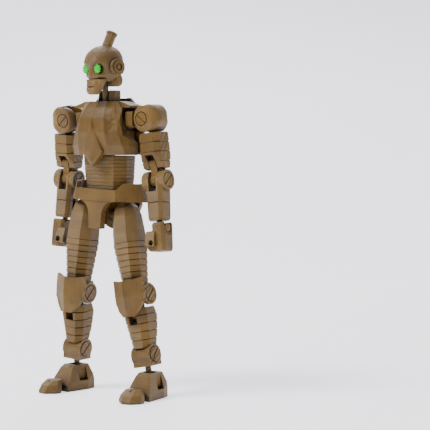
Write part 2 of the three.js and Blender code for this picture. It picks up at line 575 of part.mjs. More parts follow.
function shank() {
  const keys = [[SHANK_FOOT - 1.4, 7.8, 7.6, 0.1], [-7, 9, 9.2, 0.7], [-1, 10.4, 10.2, 0.9],
    [2.6, 9.6, 8.8, 0.6]];
  const tube = ribbed(keys, 2.9, 2.2);
  const top = slab('x', [[-6, -20], [7, -20], [7, -0.5], [4.6, 2.1], [-2.6, 2.1], [-5, 0]], -7, 7);
  const slot = box(-FORK - GAP, FORK + GAP, -7, 7, -3.4, 6);
  const bore = bar('x', 1 + GAP, -3.3, 3.3);
  const saddle = bar('x', ANKLE_DRUM.radius + GAP, -7, 7, [0, 0, -SHANK], 16);
  const lug = bar('x', 2.5, -FORK, FORK, [0, 0, -SHANK], 12);
  const stem = box(-FORK, FORK, -1.6, 1.6, -SHANK, -9);
  const tongue = cut(join(lug, stem), bar('x', 1 + GAP, -3, 3, [0, 0, -SHANK]));
  return join(cut(tube.intersect(top), slot, bore, saddle), tongue);
}

function ankleDrum() {
  const { radius, half, head } = ANKLE_DRUM;
  const drum = join(bar('x', radius, -half, half, [0, 0, 0], 16), box(-half, half, -3.2, 3.2, -3.9, 0));
  const slot = FORK + GAP;
  const mouth = join(bar('x', 2.9, -slot, slot, [0, 0, 0], 12),
    slab('x', [[-2.6, 0], [2.6, 0], [3.6, 5], [-3.6, 5]], -slot, slot));
  return cut(drum, mouth, bar('z', 1.1 + GAP, -6, -1), pinHole('x', 1, head, half + 0.25, 0.6));
}

const anklePin = () => slottedPin('x', 1, ANKLE_DRUM.head, ANKLE_DRUM.half + 0.25, 0.6);

function anklePeg() {
  const stem = bar('z', 1.1, 0, ANKLE - 3.1, [0, 0, 0], 12);
  return join(stem, bar('y', 1.9, -1.7, 1.7, [0, 0, 0], 12), bar('y', 0.9, -2.6, 2.6));
}

const TOE = { y: -9, z: -3.9 }; // toe hinge from the foot's roll hinge

function heelBlock() {
  const side = [[5.6, -SOLE], [5.6, -2.2], [3.3, 3.5], [-3.2, 3.5], [-4.8, 2.4], [-7, -1.2],
    [-8.1, -3.6], [-8.1, -SOLE]];
  const body = slab('x', side, -4.6, 4.6);
  const plan = slab('z', [[-4.6, -9.6], [4.6, -9.6], [4.6, 2], [3.8, 5.6], [-3.8, 5.6], [-4.6, 2]], -6, 4);
  const face = [[-4.6, -6], [4.6, -6], [4.6, -2.4], [2.9, 3.5], [-2.9, 3.5], [-4.6, -2.4]];
  const front = slab('y', face, -10, 7);
  const pocket = join(box(-2.3, 2.3, -2, 2, -2.5, 5), bar('y', 0.9 + GAP, -2.9, 2.9));
  const recess = both((s) => join(
    box(s * 4.1 - 1, s * 4.1 + 1, -2.2, 1.9, -1.5, 4),
    box(s * 4 - 1.2, s * 4 + 1.2, -2.2, 1.9, -2.3, -1.4),
  ));
  const pin = bar('x', 1.1, -1.5, 1.5, [0, TOE.y, TOE.z], 12);
  const tongue = join(box(-1.5, 1.5, TOE.y, -8, -SOLE + 0.4, -2.8), pin);
  return cut(join(body.intersect(plan).intersect(front), tongue), pocket, recess);
}

function toeCap() {
  const cap = loft([
    octagon(8.8, 8, 2.8, -SOLE, 0, -12.6), octagon(9.4, 8.2, 2.9, -SOLE + 1, 0, -12.6),
    octagon(8.6, 6.9, 2.4, -3, 0, -12), octagon(6.2, 4.2, 1.4, -1.2, 0, -10.8),
  ]);
  const room = box(-1.8, 1.8, -10.6, -8, -SOLE - 1, -2.4);
  const groove = box(-0.25, 0.25, -14.4, -8, -1.8, 0);
  return cut(cap, room, groove);
}

// ---------------------------------------------------------------- assembly
function arm(chest, side, name, pose) {
  const block = [side * BLOCK_X, 0, SHOULDER.z - CHEST_Z];
  const swing = pivot(chest, `shoulder_swing_${name}`, block, 'x', -pose.swing);
  place(swing, `shoulder_block_${name}`, shoulderBlock(), side);
  const pin = [side * (SHOULDER.x - BLOCK_X), 0, 0];
  const raise = pivot(swing, `shoulder_raise_${name}`, pin, 'y', -side * pose.raise);
  place(raise, `shoulder_drum_${name}`, shoulderDrum(), side);
  place(raise, `shoulder_pin_${name}`, shoulderPin(), side);
  const twist = pivot(raise, `arm_turn_${name}`, [side * ARM_OFFSET, 0, -ARM_TOP], 'z', 0);
  place(twist, `upper_arm_${name}`, upperArm(), side);
  const upper = pivot(twist, `elbow_upper_${name}`, [0, 0, -ELBOW_UPPER], 'x', -pose.elbowUpper);
  place(upper, `elbow_link_${name}`, elbowLink(), side);
  const lower = pivot(upper, `elbow_lower_${name}`, [0, 0, -ELBOW_SPAN], 'x', -pose.elbowLower);
  place(lower, `forearm_${name}`, forearm(), side);
  place(lower, `elbow_pin_${name}`, elbowPin(), side);
  const turn = pivot(lower, `wrist_turn_${name}`, [0, 0, -FOREARM], 'z', 0);
  place(turn, `wrist_peg_${name}`, wristPeg(), side);
  const bend = pivot(turn, `wrist_bend_${name}`, [0, 0, -WRIST], 'x', 0);
  place(bend, `hand_${name}`, hand(), side);
}

function leg(pelvis, side, name, pose) {
  const swing = pivot(pelvis, `hip_swing_${name}`, [side * HIP.x, HIP.y, 0], 'x', -pose.hipSwing);
  place(swing, `hip_knuckle_${name}`, hipKnuckle(), side);
  const spread = pivot(swing, `hip_spread_${name}`, [0, 0, 0], 'y', -side * pose.spread);
  place(spread, `thigh_${name}`, thigh(), side);
  const upper = pivot(spread, `knee_upper_${name}`, [0, 0, -THIGH], 'x', pose.kneeUpper);
  place(upper, `knee_link_${name}`, kneeLink(), side);
  place(upper, `knee_pin_${name}`, kneePin(), side);
  place(upper, `knee_pad_${name}`, kneePad(), side);
  const lower = pivot(upper, `knee_lower_${name}`, [0, 0, -KNEE_SPAN], 'x', pose.kneeLower);
  place(lower, `shank_${name}`, shank(), side);
  const ankle = pivot(lower, `ankle_swing_${name}`, [0, 0, -SHANK], 'x', 0);
  place(ankle, `ankle_drum_${name}`, ankleDrum(), side);
  place(ankle, `ankle_pin_${name}`, anklePin(), side);
  const turn = pivot(ankle, `ankle_turn_${name}`, [0, 0, -ANKLE], 'z', 0);
  place(turn, `ankle_peg_${name}`, anklePeg(), side);
  const roll = pivot(turn, `ankle_roll_${name}`, [0, 0, 0], 'y', 0);
  place(roll, `heel_block_${name}`, heelBlock(), side);
  const toe = pivot(roll, `toe_bend_${name}`, [0, TOE.y, TOE.z], 'x', 0);
  place(toe, `toe_cap_${name}`, toeCap().translate([0, -TOE.y, -TOE.z]), side);
  return { ankle, turn, roll, splay: THREE.MathUtils.degToRad(side * pose.splay) };
}

// Turns the three ankle joints so that the sole lies flat, its toe pointing `splay` outward.
function levelFoot({ ankle, turn, roll, splay }) {
  const shankTurn = ankle.parent.getWorldQuaternion(new THREE.Quaternion()).invert();
  const flat = new THREE.Quaternion().setFromAxisAngle(new THREE.Vector3(0, 0, 1), splay);
  const angles = new THREE.Euler().setFromQuaternion(shankTurn.multiply(flat), 'XZY');
  ankle.rotation.x = angles.x;
  turn.rotation.z = angles.z;
  roll.rotation.y = angles.y;
}

const figure = new THREE.Group();
const pelvis = new THREE.Group();
pelvis.position.z = HIP.z;
figure.add(pelvis);
const atHip = (solid) => solid.translate([0, 0, -HIP.z]);
place(pelvis, 'hip_block', atHip(hipBlock()));
place(pelvis, 'pelvis_belt', atHip(belt()));
place(pelvis, 'seat_plate', atHip(seatPlate()));
const feet = [leg(pelvis, 1, 'left', POSE.left), leg(pelvis, -1, 'right', POSE.right)];

const lean = pivot(pelvis, 'waist_lean', [0, 0, WAIST_Z - HIP.z], 'y', 0);
place(lean, 'waist_post', waistPost());
const bend = pivot(lean, 'waist_bend', [0, 0, WAIST_LINK], 'x', 0);
place(bend, 'waist_shell', waistShell());
const chest = pivot(bend, 'chest_turn', [0, 0, CHEST_Z - WAIST_Z - WAIST_LINK], 'z', 0);
const atChest = (solid) => solid.translate([0, 0, -CHEST_Z]);
place(chest, 'chest_frame', atChest(chestFrame()));
place(chest, 'breastplate', atChest(breastplate()));
place(chest, 'back_plate', atChest(backPlate()));
place(chest, 'neck_collar', atChest(collar()));
arm(chest, 1, 'left', POSE.left);
arm(chest, -1, 'right', POSE.right);

const nod = pivot(chest, 'neck_nod', [NECK.x, NECK.y, NECK.z - CHEST_Z], 'x', POSE.head.nod);
place(nod, 'neck_post', neckPost());
const head = pivot(nod, 'head_turn', [0, 0, HEAD_Z - NECK.z], 'z', POSE.head.turn);
const atHead = (solid) => solid.translate([HEAD_SIDE, HEAD_BACK, 0]);
place(head, 'skull', atHead(skull()));
place(head, 'jaw', atHead(jaw()));
place(head, 'occiput', atHead(occiput()));
place(head, 'head_pipe', atHead(pipe()));
const face = new THREE.Group();
face.position.set(HEAD_SIDE, HEAD_BACK, 0);
head.add(face);
for (const [side, name] of [[1, 'left'], [-1, 'right']]) {
  place(face, `ear_disc_${name}`, earDisc().translate([6.4 + GAP, 0.2, 6]), side);
  place(face, `eye_lens_${name}`, eyeLens().translate([EYE.x, -5.9, EYE.z]), side, LENS);
}

// Both soles come to the same height: the pelvis rolls, and the waist leans back upright.
const height = (group) => group.getWorldPosition(new THREE.Vector3());
for (let pass = 0; pass < 12; pass += 1) {
  figure.updateMatrixWorld(true);
  feet.forEach(levelFoot);
  figure.updateMatrixWorld(true);
  const [left, right] = feet.map(({ roll }) => height(roll));
  pelvis.rotation.y += Math.atan2(left.z - right.z, left.x - right.x);
  lean.rotation.y = -pelvis.rotation.y;
}
figure.updateMatrixWorld(true);
feet.forEach(levelFoot);
figure.updateMatrixWorld(true);
const bounds = new THREE.Box3().setFromObject(figure, true);
figure.position.set(-(bounds.min.x + bounds.max.x) / 2, -(bounds.min.y + bounds.max.y) / 2, -bounds.min.z);
figure.updateMatrixWorld(true);

export default figure;
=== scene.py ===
"""A jointed, printed robot figure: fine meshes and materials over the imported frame.

Each fine piece is modelled in millimetres about a joint, and placed by a frame worked out from
the record's joint positions and axes. The right arm's pieces are the left arm's, mirrored.
"""
import json
import math

import bpy
from mathutils import Matrix, Vector


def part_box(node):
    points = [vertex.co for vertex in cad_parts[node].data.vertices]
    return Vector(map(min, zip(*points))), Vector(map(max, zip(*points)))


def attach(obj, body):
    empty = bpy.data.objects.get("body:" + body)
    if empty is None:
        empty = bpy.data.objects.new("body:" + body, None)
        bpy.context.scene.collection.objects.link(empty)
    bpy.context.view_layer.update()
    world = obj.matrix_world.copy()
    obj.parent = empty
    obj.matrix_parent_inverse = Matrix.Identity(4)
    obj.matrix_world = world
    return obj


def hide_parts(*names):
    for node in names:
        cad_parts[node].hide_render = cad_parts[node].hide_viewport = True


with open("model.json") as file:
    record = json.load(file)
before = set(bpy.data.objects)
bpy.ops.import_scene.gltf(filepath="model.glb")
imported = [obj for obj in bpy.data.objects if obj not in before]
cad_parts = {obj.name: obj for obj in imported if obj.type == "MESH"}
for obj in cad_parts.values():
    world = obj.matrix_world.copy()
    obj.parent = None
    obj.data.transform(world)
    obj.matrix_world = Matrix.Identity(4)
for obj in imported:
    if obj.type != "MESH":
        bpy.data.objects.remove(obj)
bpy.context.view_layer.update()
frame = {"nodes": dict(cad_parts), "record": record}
MM = 0.001

# ------------------------------------------------------------------ camera, first
# The figure stands in the left half of a square picture, seen from its left front.
AZIMUTH = math.radians(38.6)
PITCH = math.radians(4.4)
CAMERA_AT = Vector((347.4, -431.7, 94.5)) * MM
AIM_RIGHT, AIM_UP = 0.0702, 0.0239  # how far the picture's middle is from the figure's
LENS_MM, SENSOR_MM = 128, 36


def set_camera():
    sin_a, cos_a = math.sin(AZIMUTH), math.cos(AZIMUTH)
    sin_p, cos_p = math.sin(PITCH), math.cos(PITCH)
    ahead = Vector((-sin_a * cos_p, cos_a * cos_p, -sin_p))
    right = Vector((cos_a, sin_a, 0))
    up = Vector((-sin_a * sin_p, cos_a * sin_p, cos_p))
    aim = ahead + AIM_RIGHT * right + AIM_UP * up
    data = bpy.data.cameras.new("camera")
    data.lens, data.sensor_width = LENS_MM, SENSOR_MM
    camera = bpy.data.objects.new("camera", data)
    bpy.context.scene.collection.objects.link(camera)
    camera.location = CAMERA_AT
    camera.rotation_euler = aim.to_track_quat("-Z", "Y").to_euler()
    bpy.context.scene.camera = camera


set_camera()

# ------------------------------------------------------------------ frames from the joints
JOINT = {j["name"]: j for j in frame["record"]["behaviour"]["joints"]}


def at(name):
    return Vector(JOINT[name]["pos_m"])


def along(name):
    return Vector(JOINT[name]["axis"])


def place_by(origin, z, x=None, y=None):
    """A rigid frame at origin, from x or y as given and about the z given."""
    if x is None:
        x = y.cross(z)
    else:
        y = z.cross(x)
    x, y, z = x.normalized(), y.normalized(), x.cross(y).normalized()
    y = z.cross(x)
    return Matrix.Translation(origin) @ Matrix((x, y, z)).transposed().to_4x4()


def centre(node):
    low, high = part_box(node)
    return (Vector(low) + Vector(high)) / 2


# ------------------------------------------------------------------ mesh tools, millimetres
SIDES = 56  # of a round


def solid(verts, faces):
    mesh = bpy.data.meshes.new("work")
    mesh.from_pydata([tuple(v) for v in verts], [], faces)
    work = bpy.data.objects.new("work", mesh)
    bpy.context.scene.collection.objects.link(work)
    return work


def loft(rings):
    """A skin over rings of equal point count, closed by a face at each end."""
    count = len(rings[0])
    verts = [p for ring in rings for p in ring]
    faces = [tuple(reversed(range(count))), tuple(range(len(verts) - count, len(verts)))]
    for r in range(len(rings) - 1):
        for j in range(count):
            a, b = r * count + j, r * count + (j + 1) % count
            faces.append((a, b, b + count, a + count))
    volume = sum(Vector(verts[f[0]]).dot(Vector(verts[f[i]]).cross(Vector(verts[f[i + 1]])))
                 for f in faces for i in range(1, len(f) - 1))
    if volume < 0:
        faces = [tuple(reversed(f)) for f in faces]
    return solid(verts, faces)


AXES = {"x": (0, 1, 2), "y": (1, 0, 2), "z": (2, 0, 1)}


def on_axis(axis, depth, u, v):
    """The point at depth along an axis, with u and v on the other two."""
    point = [0, 0, 0]
    for index, value in zip(AXES[axis], (depth, u, v)):
        point[index] = value
    return point


def slab(axis, outline, low, high):
    """An outline pushed along an axis: (y, z) along x, (x, z) along y, or (x, y) along z."""
    return loft([[on_axis(axis, depth, u, v) for u, v in outline] for depth in (low, high)])


def box(x0, x1, y0, y1, z0, z1):
    return slab("z", [(x0, y0), (x1, y0), (x1, y1), (x0, y1)], z0, z1)


def arc(u, v, radius, start, end, count=14):
    """Points of a round from start to end, degrees."""
    turns = [math.radians(start + (end - start) * i / count) for i in range(count + 1)]
    return [(u + radius * math.cos(t), v + radius * math.sin(t)) for t in turns]


def bar(axis, radius, low, high, middle=(0, 0, 0), edge=0):
    """A round bar through the point middle, with its two rims rounded off by edge."""
    depth_mid, u_mid, v_mid = (middle[index] for index in AXES[axis])
    profile = [(low, radius), (high, radius)]
    if edge:
        profile = [(low, radius - edge), (low + edge, radius),
                   (high - edge, radius), (high, radius - edge)]
    rings = []
    for depth, size in profile:
        circle = arc(u_mid, v_mid, size, 0, 360 - 360 / SIDES, SIDES - 1)
        rings.append([on_axis(axis, depth + depth_mid, u, v) for u, v in circle])
    return loft(rings)


def combine(operation, base, others):
    for other in others:
        modifier = base.modifiers.new("combine", "BOOLEAN")
        modifier.operation, modifier.solver, modifier.object = operation, "MANIFOLD", other
    evaluated = base.evaluated_get(bpy.context.evaluated_depsgraph_get())
    mesh = bpy.data.meshes.new_from_object(evaluated)
    base.modifiers.clear()
    base.data = mesh
    for other in others:
        bpy.data.objects.remove(other)
    return base


def join(base, *others):
    return combine("UNION", base, others)


def cut(base, *others):
    return combine("DIFFERENCE", base, others)


def meet(base, *others):
    return combine("INTERSECT", base, others)


def both(make):
    return [make(1), make(-1)]


def span(s, near, far):
    """(low, high) of a stretch from near to far on side s."""
    return (near, far) if s > 0 else (-far, -near)


def moved(work, offset, axis, degrees):
    """The form turned about an axis, then shifted."""
    turn = Matrix.Rotation(math.radians(degrees), 4, axis)
    work.data.transform(Matrix.Translation(Vector(offset)) @ turn)
    return work


def octagon(w, d, corner, z, x=0, y=0):
    a, b = w / 2, d / 2
    half = [(a, corner - b), (a, b - corner), (a - corner, b), (corner - a, b)]
    return [(x + u, y + v, z) for u, v in half + [(-u, -v) for u, v in half]]


def row_between(rows, value):
    """The row of numbers at value, the rows' first number, by straight lines between rows."""
    k = 0
    while k < len(rows) - 2 and value > rows[k + 1][0]:
        k += 1
    low, high = rows[k], rows[k + 1]
    t = (value - low[0]) / (high[0] - low[0])
    return [a + (b - a) * t for a, b in zip(low, high)]


def ribbed(keys, pitch, corner, groove, bulge):
    """Stacked bands with a groove between them. Keys are (z, width, depth, y), low to high."""
    def ring(z, grow):
        _, w, d, y = row_between(keys, z)
        return octagon(w + grow, d + grow, corner, z, 0, y)

    low, high = keys[0][0], keys[-1][0]
    count = max(1, round((high - low) / pitch))
    step = (high - low) / count
    rings = []
    for i in range(count):
        base = low + i * step
        for rise, grow in ((0, -groove), (0.1, -groove), (0.18, 0), (0.4, bulge), (step - 0.3, bulge),
                           (step - 0.1, 0)):
            rings.append(ring(base + rise, grow))
    rings.append(ring(high, -groove))
    return loft(rings)


def pin_hole(axis, shaft, head, half, thick):
    """Room for a pin's shaft and its two heads."""
    return [bar(axis, shaft + 0.15, -half - 1, half + 1)] + both(
        lambda s: bar(axis, head + 0.22, *span(s, half - thick - 0.1, half + 1)))


# ------------------------------------------------------------------ materials
class Nodes:
    """Short calls for a material's node tree: sockets are wired or set by name or place."""

    def __init__(self, name):
        self.material = bpy.data.materials.new(name)
        self.material.use_nodes = True
        self.tree = self.material.node_tree
        self.tree.nodes.clear()

    def add(self, kind, inputs=None, **settings):
        node = self.tree.nodes.new(kind)
        for key, value in settings.items():
            setattr(node, key, value)
        for key, value in (inputs or {}).items():
            if isinstance(value, bpy.types.NodeSocket):
                self.tree.links.new(value, node.inputs[key])
            else:
                node.inputs[key].default_value = value
        return node

    def math(self, operation, a, b=0.0):
        return self.add("ShaderNodeMath", {0: a, 1: b}, operation=operation).outputs[0]

    def ramp(self, value, low, high, to_low=0.0, to_high=1.0):
        inputs = {0: value, 1: low, 2: high, 3: to_low, 4: to_high}
        return self.add("ShaderNodeMapRange", inputs).outputs[0]

    def mix(self, factor, a, b):
        return self.add("ShaderNodeMix", {0: factor, 6: a, 7: b}, data_type="RGBA").outputs[2]

    def noise(self, where, scale, detail=2.0):
        inputs = {"Vector": where, "Scale": scale, "Detail": detail}
        return self.add("ShaderNodeTexNoise", inputs).outputs[0]

    def dot(self, a, b):
        return self.add("ShaderNodeVectorMath", {0: a, 1: b}, operation="DOT_PRODUCT").outputs["Value"]

    def surface(self, **inputs):
        named = {key.replace("_", " "): value for key, value in inputs.items()}
        body = self.add("ShaderNodeBsdfPrincipled", named)
        self.add("ShaderNodeOutputMaterial", {"Surface": body.outputs[0]})
        return self.material


def rgb(r, g, b):
    """A colour as seen on a screen, 0 to 255, made linear."""
    return tuple(((c / 255 + 0.055) / 1.055) ** 2.4 for c in (r, g, b)) + (1.0,)


PLASTIC = {"light": rgb(132, 99, 34), "mid": rgb(86, 61, 19), "dark": rgb(27, 17, 4)}
LAYER = 0.3 * MM  # height of a printed layer, as it shows


def printed(name, build_axis):
    """Printed plastic, its layers stacked along one axis: ridges, uneven tone, pale edges as a painted
    highlight, and painted shade in hollows.
    """
    n = Nodes(name)
    where = n.add("ShaderNodeTexCoord").outputs["Object"]
    height = n.dot(where, Vector(build_axis).normalized())
    drift = n.math("MULTIPLY", n.noise(where, 150.0), 0.00018)
    phase = n.math("MULTIPLY", n.math("ADD", height, drift), 2 * math.pi / LAYER)
    line = n.ramp(n.math("SINE", phase), -1.0, 1.0)
    layers = n.math("MULTIPLY", height, 1 / (LAYER * 1.5))
    band = n.add("ShaderNodeTexNoise", {"W": layers, "Scale": 1.0, "Detail": 2.0},
                 noise_dimensions="1D").outputs[0]
    patch = n.noise(where, 110.0, 4.0)
    grit = n.noise(where, 2400.0, 3.0)
    normal = n.add("ShaderNodeNewGeometry").outputs["Normal"]
    rounded = n.add("ShaderNodeBevel", {"Radius": 0.3 * MM}, samples=6).outputs[0]
    edge = n.ramp(n.dot(normal, rounded), 0.995, 0.9)
    painted_shade_occlusion = n.add("ShaderNodeAmbientOcclusion", {"Distance": 3.0 * MM}, samples=8).outputs["AO"]
    tone = n.math("ADD", n.math("MULTIPLY", n.ramp(band, 0.3, 0.7), 0.14),
                  n.math("MULTIPLY", n.ramp(patch, 0.35, 0.65), 0.4))
    colour = n.mix(tone, PLASTIC["mid"], PLASTIC["light"])
    colour = n.mix(n.ramp(line, 0.0, 0.6, 0.32, 0.0), colour, PLASTIC["dark"])
    # Painted highlight: rounded edges, found by the Bevel node, are mixed towards the light colour, in
    # patches.
    painted_edge_highlight = n.math("MULTIPLY", edge, n.ramp(patch, 0.3, 0.6, 0.15, 0.55))
    colour = n.mix(painted_edge_highlight, colour, PLASTIC["light"])
    # Painted shade: hollows and gaps between parts, found by ambient occlusion, are darkened towards the
    # dark colour.
    colour = n.mix(n.ramp(painted_shade_occlusion, 0.25, 0.9, 0.95, 0.0), colour, PLASTIC["dark"])
    rough = n.math("ADD", n.ramp(grit, 0.3, 0.7, 0.42, 0.58), n.math("MULTIPLY", line, -0.06))
    relief = n.math("ADD", line, n.math("MULTIPLY", grit, 0.35))
    bump = n.add("ShaderNodeBump", {"Height": relief, "Strength": 0.7, "Distance": 0.12 * MM})
    return n.surface(Base_Color=colour, Roughness=rough, Normal=bump.outputs[0],
                     IOR=1.46, Specular_IOR_Level=0.45)


def lens_paint_and_glow():
    """Bright paint, brushed on a little unevenly, with a faint painted glow from emission."""
    n = Nodes("eye_paint_and_glow")
    where = n.add("ShaderNodeTexCoord").outputs["Object"]
    patch = n.noise(where, 900.0, 3.0)
    colour = n.mix(n.ramp(patch, 0.3, 0.7), rgb(0, 134, 0), rgb(2, 172, 0))
    bump = n.add("ShaderNodeBump", {"Height": patch, "Strength": 0.3, "Distance": 0.1 * MM})
    # Painted glow: the paint's own colour is also given off as faint light.
    return n.surface(Base_Color=colour, Roughness=0.45, Normal=bump.outputs[0],
                     Emission_Color=colour, Emission_Strength=0.12)


UPRIGHT = printed("layers_upright", (0.05, 0, 1))
SIDEWAYS = printed("layers_sideways", (1, 0.12, 0.04))
FRONTWAYS = printed("layers_frontways", (0.2, 1, 0.1))
EYE = lens_paint_and_glow()
LOOKS = {"waist_shell": UPRIGHT, "forearm": UPRIGHT, "thigh": UPRIGHT, "shank": UPRIGHT,
         "eye_lens": EYE, "shoulder_drum": FRONTWAYS, "hand": FRONTWAYS, "toe_cap": FRONTWAYS,
         "skull": FRONTWAYS, "jaw": FRONTWAYS, "heel_block": UPRIGHT}


def look_of(node):
    return next((look for start, look in LOOKS.items() if node.startswith(start)), SIDEWAYS)


SHARP = 28  # degrees between faces, from which an edge is rounded


def soften(piece, width):
    """Rounded edges and even shading over flat faces."""
    bevel = piece.modifiers.new("edges", "BEVEL")
    bevel.width, bevel.segments = width * MM, 2
    bevel.limit_method, bevel.angle_limit = "ANGLE", math.radians(SHARP)
    bevel.use_clamp_overlap = True
    piece.data.polygons.foreach_set("use_smooth", [True] * len(piece.data.polygons))
    piece.modifiers.new("shading", "WEIGHTED_NORMAL")


for name, piece in frame["nodes"].items():
    if not piece.material_slots:
        piece.data.materials.append(None)
    for slot in piece.material_slots:
        slot.material = look_of(name)
    soften(piece, 0.16)


# ------------------------------------------------------------------ finer pieces, in millimetres
def finish_piece(work, node, frame_of, body, bevel=0, mirrored=False):
    """Puts a piece made in millimetres at its place, in the stead of a CAD node."""
    scale = Matrix.Diagonal((-MM if mirrored else MM, MM, MM, 1))
    work.data.transform(frame_of @ scale)
    if mirrored:
        work.data.flip_normals()
    work.name = f"fine_{node}"
    work.data.name = work.name
    work.data.materials.clear()
    work.data.materials.append(look_of(node))
    if bevel:
        soften(work, bevel)
    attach(work, body)
    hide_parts(node)
    return work


def smooth_step(value, low, high):
    t = min(1, max(0, (value - low) / (high - low)))
    return t * t * (3 - 2 * t)


def bump_at(x, z, cx, cz, wide, tall):
    return math.exp(-((x - cx) / wide) ** 2 - ((z - cz) / tall) ** 2)


def spline(keys, value):
    """A smooth curve through rows of (value, ...), by Catmull-Rom."""
    k = 0
    while k < len(keys) - 2 and value > keys[k + 1][0]:
        k += 1
    rows = [keys[max(0, min(len(keys) - 1, k + i))] for i in (-1, 0, 1, 2)]
    t = (value - rows[1][0]) / (rows[2][0] - rows[1][0])
    result = []
    for a, b, c, d in zip(*rows):
        result.append(0.5 * (2 * b + (c - a) * t + (2 * a - 5 * b + 4 * c - d) * t * t
                             + (3 * b - 3 * c + d - a) * t ** 3))
    return result


HEAD_SIDE, HEAD_BACK = 1.3, -1.2  # middle of the head from the neck post
EYE_X, EYE_Z = 3.35, 5.5
# height, width, reach to the front, reach to the back
SKULL = [(1.0, 8.6, 5.7, 3.0), (2.2, 10.4, 6.2, 4.6), (3.5, 12.2, 6.5, 5.6), (5.2, 13.2, 6.9, 6.1),
         (7.4, 13.7, 7.1, 6.4), (9.7, 13.0, 6.7, 6.2), (11.5, 11.0, 5.6, 5.5), (12.8, 8.0, 4.1, 4.3),
         (13.5, 5.2, 2.7, 3.1), (13.9, 1.2, 0.7, 1.3)]
JAW = [(-3.75, 3.2, 6.3, -4.0), (-3.4, 4.8, 6.9, -3.4), (-2.2, 6.2, 7.15, -2.8), (-1.0, 7.0, 7.0, -2.3),
       (0.2, 8.0, 6.85, -1.7), (1.7, 9.4, 6.4, -1.2)]


def head_rings(keys, count, sides, relief, square=2.3):
    """Rings of an egg-shaped form, pushed in and out at the front by relief(x, z)."""
    rings = []
    for i in range(count + 1):
        z = keys[0][0] + (keys[-1][0] - keys[0][0]) * (0.5 - 0.5 * math.cos(math.pi * i / count))
        _, width, front, back = spline(keys, z)
        ring = []
        for j in range(sides):
            turn = 2 * math.pi * (j + 0.5) / sides
            cos_t, sin_t = math.cos(turn), math.sin(turn)
            x = width / 2 * math.copysign(abs(cos_t) ** (2 / square), cos_t)
            middle, reach = (back - front) / 2, (back + front) / 2
            y = middle + reach * math.copysign(abs(sin_t) ** (2 / square), sin_t)
            facing = smooth_step(-sin_t, 0.1, 0.6)
            ring.append((x, y - facing * relief(x, z), z))
        rings.append(ring)
    return rings


def face_relief(x, z):
    """How far the face stands out: sockets, brow, cheeks, nose."""
    side = abs(x)
    push = -1.8 * bump_at(side, z, EYE_X, EYE_Z, 1.9, 1.7)
    push += 0.6 * bump_at(side, z, 2.8, 7.7, 2.6, 0.8)
    push += 0.55 * bump_at(side, z, 4.6, 3.0, 1.4, 0.7)
    push -= 0.9 * bump_at(side, z, 4.4, 1.2, 1.5, 0.9)
    push += 0.75 * bump_at(x, z, 0, 3.1, 0.75, 1.3)
    return push


def occiput():
    """The block at the nape, chamfered, with two grooves."""
    block = loft([octagon(6.6, 3.4, 0.9, -1.0, 0, 3.0), octagon(8.6, 4.4, 1.1, -0.2, 0, 3.2),
                  octagon(9.4, 4.8, 1.2, 1.4, 0, 3.2), octagon(8.8, 4.4, 1.2, 3.4, 0, 2.8)])
    grooves = [box(s * 2 - 0.2, s * 2 + 0.2, 4.9, 7, -3, 1.6) for s in (1, -1)]
    return cut(block, *grooves, bar("z", 1.9, -3, 4, (-HEAD_SIDE, -HEAD_BACK, 0)))


def jaw_relief(x, z):
    push = -0.5 * bump_at(x, z, 0, -0.9, 2.6, 0.2)
    push += 0.22 * bump_at(x, z, 0, -0.4, 2.2, 0.3) + 0.25 * bump_at(x, z, 0, -1.5, 2.0, 0.35)
    push += 0.3 * bump_at(x, z, 0, -3.0, 1.5, 0.6)
    return push - 0.5 * bump_at(abs(x), z, 3.4, 0.2, 0.9, 1.4)


def head_frame():
    right = centre("ear_disc_left") - centre("ear_disc_right")
    turned = place_by(at("head_turn"), x=right, z=along("head_turn"))
    return turned @ Matrix.Translation(Vector((HEAD_SIDE, HEAD_BACK, 0)) * MM)


HEAD = head_frame()


def skull():
    shell = loft(head_rings(SKULL, 60, 96, face_relief))
    ears = both(lambda s: bar("x", 3.35, *span(s, 6.4, 9), (0, 0.2, 6)))
    neck = bar("z", 1.9, 0, 3.6, (-HEAD_SIDE, -HEAD_BACK, 0))
    pipe_room = moved(bar("z", 2.1, 0, 8), (0, 1, 12.9), "X", -28)
    helmet = both(lambda s: moved(box(-0.12, 0.12, -9, 9, -12, 12), (s * 6.95, 0, 6), "Y", s * 9))
    return cut(shell, *ears, neck, pipe_room, *helmet)


def jaw():
    bone = loft(head_rings(JAW, 36, 72, jaw_relief, square=2.7))
    return cut(bone, bar("z", 1.9, -6, 3, (-HEAD_SIDE, -HEAD_BACK, 0)))


def eye(s):
    """A painted lens with a notched rim."""
    rings = []
    for y, size in ((-0.4, 1.3), (0.2, 1.62), (0.4, 1.5), (0.52, 1.1), (0.56, 0.4)):
        ring = []
        for j in range(64):
            turn = 2 * math.pi * j / 64
            radius = size * (1 + 0.13 * math.cos(9 * turn))
            ring.append((s * EYE_X + radius * math.cos(turn), -5.8 - y, EYE_Z + radius * math.sin(turn)))
        rings.append(ring)
    return loft(rings)


def remeshed(work, voxel, rounds):
    """One soft skin over joined forms: worn, rounded edges."""
    remesh = work.modifiers.new("skin", "REMESH")
    remesh.mode, remesh.voxel_size = "VOXEL", voxel
    relax = work.modifiers.new("relax", "SMOOTH")
    relax.factor, relax.iterations = 0.5, rounds
    evaluated = work.evaluated_get(bpy.context.evaluated_depsgraph_get())
    mesh = bpy.data.meshes.new_from_object(evaluated)
    work.modifiers.clear()
    work.data = mesh
    mesh.polygons.foreach_set("use_smooth", [True] * len(mesh.polygons))
    return work


